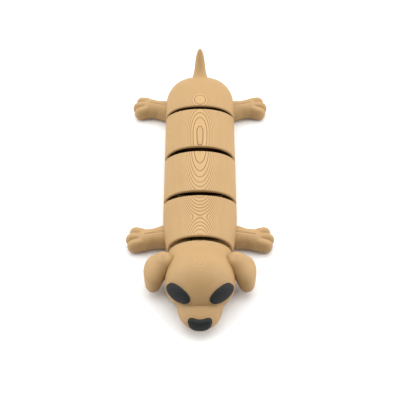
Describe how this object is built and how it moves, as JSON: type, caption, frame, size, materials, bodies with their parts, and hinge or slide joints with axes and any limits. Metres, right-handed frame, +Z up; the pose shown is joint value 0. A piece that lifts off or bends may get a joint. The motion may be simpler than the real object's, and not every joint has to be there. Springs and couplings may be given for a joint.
{
  "type": "articulated animal fidget toy",
  "caption": "Jointed lying puppy fidget toy: a chain of body segments that swivel and bend on hidden links, with a rounded head, ears, splayed legs and a short tail.",
  "frame": {"origin": "middle of the footprint's bounding box, on the surface the toy lies on", "axes": "+Z up, +Y from the head to the tail, +X to the toy's left as it looks along -Y (the right side of a view from the head)"},
  "size_m": [0.0616, 0.145, 0.0214],
  "materials": {
    "tan_shell": "matte printed layers",
    "tan_joint": "matte printed layers",
    "tan_pin": "smooth filament",
    "charcoal_insert": "satin printed"
  },
  "bodies": {
    "third": {"third_segment": "tan_shell", "waist_pin": "tan_pin"},
    "hip_link": {"hip_link": "tan_joint"},
    "rear": {"rear_segment": "tan_shell", "hip_pin": "tan_pin", "rear_leg_left": "tan_shell", "rear_leg_right": "tan_shell"},
    "waist_link": {"waist_link": "tan_joint"},
    "second": {"second_segment": "tan_shell", "shoulder_pin": "tan_pin"},
    "shoulder_link": {"shoulder_link": "tan_joint"},
    "front": {"front_segment": "tan_shell", "neck_pin": "tan_pin", "front_leg_left": "tan_shell", "front_leg_right": "tan_shell"},
    "neck_link": {"neck_link": "tan_joint"},
    "head": {"head": "tan_shell", "ear_left": "tan_shell", "ear_right": "tan_shell", "eye_left": "charcoal_insert", "eye_right": "charcoal_insert", "nose": "charcoal_insert"}
  },
  "joints": [
    {"name": "hip_twist", "type": "hinge", "parent": "third", "child": "hip_link", "pos_m": [0, 0.038, 0.0068], "axis": [0, 1, 0], "continuous": true},
    {"name": "hip_bend", "type": "hinge", "parent": "hip_link", "child": "rear", "pos_m": [0, 0.04155, 0.0068], "axis": [1, 0, 0], "range_deg": [-11, 11]},
    {"name": "waist_bend", "type": "hinge", "parent": "third", "child": "waist_link", "pos_m": [0, 0.01565, 0.0068], "axis": [1, 0, 0], "range_deg": [-11, 11]},
    {"name": "waist_twist", "type": "hinge", "parent": "waist_link", "child": "second", "pos_m": [0, 0.0121, 0.0068], "axis": [0, 1, 0], "continuous": true},
    {"name": "shoulder_bend", "type": "hinge", "parent": "second", "child": "shoulder_link", "pos_m": [0, -0.0085, 0.0068], "axis": [1, 0, 0], "range_deg": [-11, 11]},
    {"name": "shoulder_twist", "type": "hinge", "parent": "shoulder_link", "child": "front", "pos_m": [0, -0.01205, 0.0068], "axis": [0, 1, 0], "continuous": true},
    {"name": "neck_bend", "type": "hinge", "parent": "front", "child": "neck_link", "pos_m": [0, -0.03195, 0.0068], "axis": [1, 0, 0], "range_deg": [-11, 11]},
    {"name": "neck_twist", "type": "hinge", "parent": "neck_link", "child": "head", "pos_m": [0, -0.0355, 0.0068], "axis": [0, 1, 0], "continuous": true}
  ]
}
